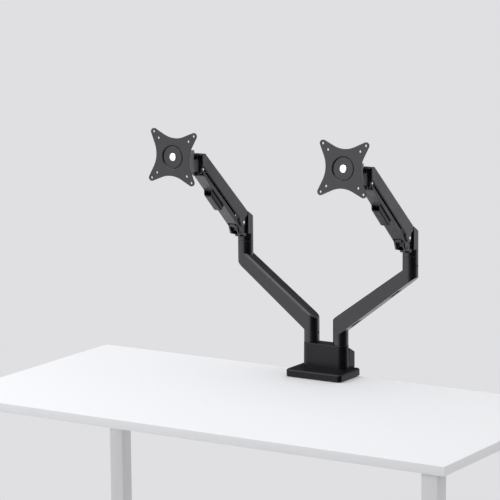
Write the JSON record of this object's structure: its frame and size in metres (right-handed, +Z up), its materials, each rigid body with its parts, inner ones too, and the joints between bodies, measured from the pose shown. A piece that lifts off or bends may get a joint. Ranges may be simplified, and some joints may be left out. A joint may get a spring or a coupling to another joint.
{
  "type": "monitor arm",
  "caption": "Desk-clamped twin monitor arm: slanted lower arms and gas-spring upper arms that swivel, lift, pan, tilt and rotate X-shaped monitor plates.",
  "frame": {"origin": "on the desk top, midway between the two base columns", "axes": "+X to the right along the desk, +Y towards the desk's rear edge, +Z up"},
  "size_m": [0.5396, 0.3181, 0.6872],
  "materials": {
    "satin_black_casting": "satin black powder coat on cast aluminium",
    "black_coated_steel": "fine matt black powder coat on sheet steel",
    "black_plastic": "fine-grained moulded plastic",
    "rubber_pad": "matt foam rubber",
    "bright_steel": "zinc-plated steel",
    "black_oxide_steel": "black oxide",
    "black_gloss_cylinder": "gloss black lacquer",
    "nitrided_rod": "ground and black nitrided steel"
  },
  "bodies": {
    "base": {"desk_pad": "rubber_pad", "base_plate": "black_coated_steel", "base_cover": "black_plastic", "column_block": "satin_black_casting", "rear_cover": "black_plastic", "base_posts": "bright_steel", "block_bolts": "black_oxide_steel", "clamp_bracket": "black_coated_steel", "clamp_bolts": "black_oxide_steel"},
    "clamp_pad_body": {"clamp_pad": "bright_steel"},
    "clamp_screw_body": {"clamp_screw": "bright_steel", "clamp_knob": "black_plastic"},
    "left_lower": {"left_lower_arm": "satin_black_casting", "left_lower_cable_cover": "black_plastic", "left_swivel_bushes": "black_plastic", "left_friction_screws": "black_oxide_steel"},
    "left_elbow": {"left_elbow_bracket": "satin_black_casting", "left_elbow_spindle": "bright_steel", "left_elbow_pins": "bright_steel", "left_tension_block": "black_oxide_steel", "left_tension_screw": "black_oxide_steel"},
    "left_upper": {"left_upper_cover": "satin_black_casting", "left_link_washers": "black_plastic", "left_gas_cylinder": "black_gloss_cylinder", "left_spring_end_pin": "black_oxide_steel"},
    "left_link": {"left_lower_link": "black_coated_steel", "left_cable_clip": "black_plastic"},
    "left_rod": {"left_gas_rod": "nitrided_rod"},
    "left_head": {"left_head_bracket": "satin_black_casting", "left_head_pins": "bright_steel", "left_pan_pin": "black_oxide_steel"},
    "left_pan": {"left_pan_knuckle": "satin_black_casting"},
    "left_tilt": {"left_tilt_bracket": "satin_black_casting", "left_tilt_bolt": "black_oxide_steel"},
    "left_plate": {"left_vesa_plate": "black_coated_steel", "left_plate_spindle": "bright_steel"},
    "right_lower": {"right_lower_arm": "satin_black_casting", "right_lower_cable_cover": "black_plastic", "right_swivel_bushes": "black_plastic", "right_friction_screws": "black_oxide_steel"},
    "right_elbow": {"right_elbow_bracket": "satin_black_casting", "right_elbow_spindle": "bright_steel", "right_elbow_pins": "bright_steel", "right_tension_block": "black_oxide_steel", "right_tension_screw": "black_oxide_steel"},
    "right_upper": {"right_upper_cover": "satin_black_casting", "right_link_washers": "black_plastic", "right_gas_cylinder": "black_gloss_cylinder", "right_spring_end_pin": "black_oxide_steel"},
    "right_link": {"right_lower_link": "black_coated_steel", "right_cable_clip": "black_plastic"},
    "right_rod": {"right_gas_rod": "nitrided_rod"},
    "right_head": {"right_head_bracket": "satin_black_casting", "right_head_pins": "bright_steel", "right_pan_pin": "black_oxide_steel"},
    "right_pan": {"right_pan_knuckle": "satin_black_casting"},
    "right_tilt": {"right_tilt_bracket": "satin_black_casting", "right_tilt_bolt": "black_oxide_steel"},
    "right_plate": {"right_vesa_plate": "black_coated_steel", "right_plate_spindle": "bright_steel"}
  },
  "joints": [
    {"name": "clamp_pad_slide", "type": "slide", "parent": "base", "child": "clamp_pad_body", "axis": [0, 0, 1], "range_m": [-0.052, 0.01]},
    {"name": "clamp_screw_turn", "type": "hinge", "parent": "clamp_pad_body", "child": "clamp_screw_body", "pos_m": [0, -0.014, -0.1], "axis": [0, 0, 1], "range_deg": [-9450, 1890]},
    {"name": "left_base_swivel", "type": "hinge", "parent": "base", "child": "left_lower", "pos_m": [-0.0369, 0, 0.071], "axis": [0, 0, 1], "range_deg": [-90, 45]},
    {"name": "left_elbow_swivel", "type": "hinge", "parent": "left_lower", "child": "left_elbow", "pos_m": [-0.21055, 0.00424, 0.284], "axis": [0, 0, 1], "range_deg": [-90, 80]},
    {"name": "left_lift", "type": "hinge", "parent": "left_elbow", "child": "left_upper", "pos_m": [-0.21194, -0.02522, 0.329], "axis": [-0.9989, 0.0471, 0], "range_deg": [-65, 0]},
    {"name": "left_lower_link_pivot", "type": "hinge", "parent": "left_elbow", "child": "left_link", "pos_m": [-0.21222, -0.03122, 0.308], "axis": [-0.9989, 0.0471, 0], "range_deg": [-65.5, 0.5]},
    {"name": "left_head_level", "type": "hinge", "parent": "left_upper", "child": "left_head", "pos_m": [-0.21861, -0.16676, 0.4867], "axis": [-0.9989, 0.0471, 0], "range_deg": [-0.5, 65.5]},
    {"name": "left_gas_rod_slide", "type": "slide", "parent": "left_upper", "child": "left_rod", "axis": [-0.0292, -0.6196, 0.7843], "range_m": [-0.0003, 0.016]},
    {"name": "left_pan", "type": "hinge", "parent": "left_head", "child": "left_pan", "pos_m": [-0.21938, -0.18294, 0.4867], "axis": [0, 0, 1], "range_deg": [-60, 55]},
    {"name": "left_tilt", "type": "hinge", "parent": "left_pan", "child": "left_tilt", "pos_m": [-0.21807, -0.23292, 0.5022], "axis": [-0.9997, -0.0262, 0], "range_deg": [-42.4, 42.6]},
    {"name": "left_rotate", "type": "hinge", "parent": "left_tilt", "child": "left_plate", "pos_m": [-0.21699, -0.2742, 0.50321], "axis": [0.0262, -0.9994, 0.0244], "range_deg": [-90, 90]},
    {"name": "right_base_swivel", "type": "hinge", "parent": "base", "child": "right_lower", "pos_m": [0.0369, 0, 0.071], "axis": [0, 0, 1], "range_deg": [-45, 90]},
    {"name": "right_elbow_swivel", "type": "hinge", "parent": "right_lower", "child": "right_elbow", "pos_m": [0.2106, 0, 0.284], "axis": [0, 0, 1], "range_deg": [-80, 90]},
    {"name": "right_lift", "type": "hinge", "parent": "right_elbow", "child": "right_upper", "pos_m": [0.20942, -0.02948, 0.329], "axis": [-0.9992, 0.0401, 0], "range_deg": [-65, 0]},
    {"name": "right_lower_link_pivot", "type": "hinge", "parent": "right_elbow", "child": "right_link", "pos_m": [0.20918, -0.03547, 0.308], "axis": [-0.9992, 0.0401, 0], "range_deg": [-65.5, 0.5]},
    {"name": "right_head_level", "type": "hinge", "parent": "right_upper", "child": "right_head", "pos_m": [0.20373, -0.17105, 0.4867], "axis": [-0.9992, 0.0401, 0], "range_deg": [-0.5, 65.5]},
    {"name": "right_gas_rod_slide", "type": "slide", "parent": "right_upper", "child": "right_rod", "axis": [-0.0249, -0.6198, 0.7843], "range_m": [-0.0003, 0.016]},
    {"name": "right_pan", "type": "hinge", "parent": "right_head", "child": "right_pan", "pos_m": [0.20308, -0.18724, 0.4867], "axis": [0, 0, 1], "range_deg": [-60, 55]},
    {"name": "right_tilt", "type": "hinge", "parent": "right_pan", "child": "right_tilt", "pos_m": [0.2043, -0.23722, 0.5022], "axis": [-0.9997, -0.0244, 0], "range_deg": [-48, 37]},
    {"name": "right_rotate", "type": "hinge", "parent": "right_tilt", "child": "right_plate", "pos_m": [0.2053, -0.2782, 0.50723], "axis": [0.0243, -0.9922, 0.1219], "range_deg": [-90, 90]}
  ],
  "couplings": [
    {"joint": "clamp_screw_turn", "follows": "clamp_pad_slide", "rad_per_m": 3141.6},
    {"joint": "left_lower_link_pivot", "follows": "left_lift", "ratio": 1},
    {"joint": "left_head_level", "follows": "left_lift", "ratio": -1},
    {"joint": "left_gas_rod_slide", "follows": "left_lift", "m_per_rad": -0.013545},
    {"joint": "right_lower_link_pivot", "follows": "right_lift", "ratio": 1},
    {"joint": "right_head_level", "follows": "right_lift", "ratio": -1},
    {"joint": "right_gas_rod_slide", "follows": "right_lift", "m_per_rad": -0.013545}
  ]
}
